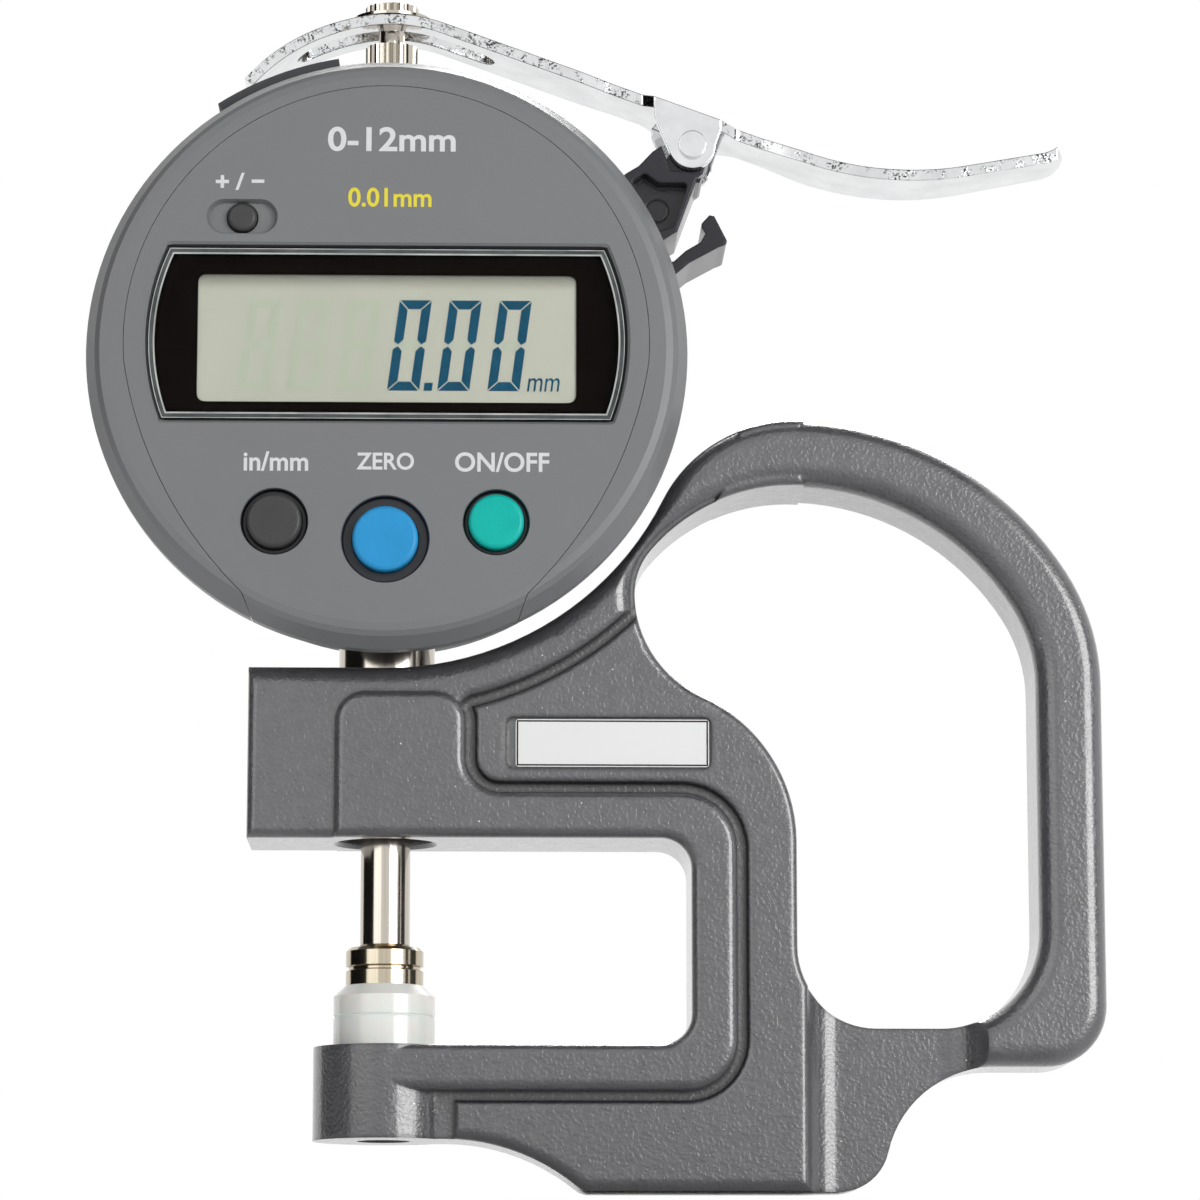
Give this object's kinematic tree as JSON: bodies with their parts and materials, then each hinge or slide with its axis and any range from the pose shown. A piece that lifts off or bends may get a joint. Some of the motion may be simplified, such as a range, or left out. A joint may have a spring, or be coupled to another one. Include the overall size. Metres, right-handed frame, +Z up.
{
  "type": "digital thickness gauge",
  "caption": "Hand-held digital thickness gauge: C-frame with a handle loop, round display, lifting lever, sprung spindle and flat ceramic contacts.",
  "frame": {"origin": "centre of the anvil's measuring face, on the spindle axis", "axes": "+Z up along the spindle, from the anvil into the indicator; +X towards the handle; -Y is the side of the display"},
  "size_m": [0.1003, 0.0238, 0.1199],
  "materials": {
    "hammered_enamel": "dark grey hammered enamel",
    "face_enamel": "mid grey satin coating",
    "case_plastic": "dark grey satin",
    "black_plastic": "glossy black",
    "black_rubber": "matte",
    "button_black": "satin",
    "button_blue": "satin",
    "button_green": "satin",
    "clear_window": "clear",
    "dark_film": "printed film",
    "display": "grey-green liquid crystal",
    "ceramic": "white translucent ceramic",
    "nickel": "turned and polished",
    "chrome": "bright chrome plate",
    "brass": "turned",
    "white_plate": "printed foil",
    "board": "circuit board",
    "scale_glass": "scale glass"
  },
  "bodies": {
    "frame": {"frame_casting": "hammered_enamel", "label_plate": "white_plate", "stem_clamp_screw": "nickel", "anvil": "ceramic", "stem": "nickel", "lower_bush": "brass", "upper_bush": "brass", "bezel_ring": "face_enamel", "face_panel": "face_enamel", "lcd_window": "clear_window", "window_film": "dark_film", "lcd_glass": "display", "contact_strips": "black_rubber", "circuit_board": "board", "keypad_mat": "black_rubber", "sign_switch": "black_plastic", "rear_case": "case_plastic", "rear_cover": "case_plastic", "rear_cover_screws": "nickel", "connector_cover": "black_rubber", "connector_socket": "black_plastic", "battery_cover": "case_plastic", "battery": "nickel", "battery_tray": "case_plastic", "battery_contact": "nickel", "guide_rail": "brass", "detector_board": "board", "return_spring": "nickel", "lever_bracket": "black_plastic", "bracket_pin": "nickel", "bracket_hook": "black_plastic"},
    "spindle": {"spindle": "nickel", "contact_tip": "ceramic", "contact_shank": "nickel", "lower_nut": "nickel", "lift_washer": "nickel", "lift_knob": "nickel", "scale_carrier": "brass", "scale_strip": "scale_glass", "guide_pin": "nickel"},
    "lever": {"lever": "chrome", "pivot_pin": "chrome"},
    "unit_button": {"unit_button": "button_black"},
    "zero_button": {"zero_button": "button_blue"},
    "power_button": {"power_button": "button_green"},
    "sign_button": {"sign_button": "button_black"}
  },
  "joints": [
    {"name": "spindle_slide", "type": "slide", "parent": "frame", "child": "spindle", "axis": [0, 0, 1], "range_m": [0, 0.012], "stiffness_N_per_m": 60, "springref_m": -0.02, "deforming": ["return_spring"]},
    {"name": "lever_pivot", "type": "hinge", "parent": "frame", "child": "lever", "pos_m": [0.0304, 0, 0.0875], "axis": [0, 1, 0], "range_deg": [0, 22.7]},
    {"name": "unit_button_press", "type": "slide", "parent": "frame", "child": "unit_button", "axis": [0, 1, 0], "range_m": [0, 0.0005], "stiffness_N_per_m": 200, "springref_m": -0.002},
    {"name": "zero_button_press", "type": "slide", "parent": "frame", "child": "zero_button", "axis": [0, 1, 0], "range_m": [0, 0.0005], "stiffness_N_per_m": 200, "springref_m": -0.002},
    {"name": "power_button_press", "type": "slide", "parent": "frame", "child": "power_button", "axis": [0, 1, 0], "range_m": [0, 0.0005], "stiffness_N_per_m": 200, "springref_m": -0.002},
    {"name": "sign_button_press", "type": "slide", "parent": "frame", "child": "sign_button", "axis": [0, 1, 0], "range_m": [0, 0.0005], "stiffness_N_per_m": 200, "springref_m": -0.002}
  ],
  "couplings": [
    {"joint": "lever_pivot", "follows": "spindle_slide", "rad_per_m": 32.895}
  ]
}
